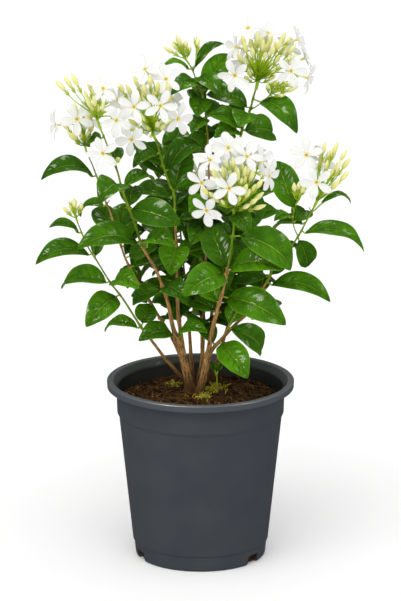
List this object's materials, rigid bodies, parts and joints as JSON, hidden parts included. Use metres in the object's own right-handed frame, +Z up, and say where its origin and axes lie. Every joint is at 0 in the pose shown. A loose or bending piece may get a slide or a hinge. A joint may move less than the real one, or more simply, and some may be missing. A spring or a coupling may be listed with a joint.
{
  "type": "potted arabian jasmine",
  "caption": "Bushy Arabian jasmine shrub with glossy leaves, white flowers and cream buds, growing in a round plastic nursery pot filled with soil.",
  "frame": {"origin": "centre of the pot's flat underside", "axes": "+Z up along the pot's axis, -Y towards the side that the picture shows, +X to that viewer's right"},
  "size_m": [0.3296, 0.2488, 0.5565],
  "materials": {
    "pot_plastic": "satin moulded slate-grey plastic",
    "soil": "crumbly dark peat with bark fibres",
    "leaf": "glossy, with pale veins and a matt paler underside",
    "bark": "tan bark with dark fissures, green on young shoots",
    "petal": "soft white petal, yellow towards the throat",
    "bud": "cream-yellow bud with a green base"
  },
  "bodies": {
    "root": {"pot": "pot_plastic", "soil": "soil", "seedling": "leaf", "stem_left": "leaf", "stem_far_left": "leaf", "stem_centre": "leaf", "stem_right_rear": "leaf", "stem_right": "leaf", "stem_back_left": "leaf", "stem_back_right": "leaf", "stem_back": "leaf", "head_top_right": "petal", "head_upper_left": "petal", "head_middle_left": "petal", "head_left": "petal", "flower_left": "petal", "head_front": "petal", "head_right": "petal", "head_back_left": "petal", "head_back_right": "petal", "head_back": "petal", "head_top": "bud", "bud_top": "bud", "buds_right": "bud", "buds_far_left": "bud", "buds_side": "bud"}
  },
  "joints": []
}
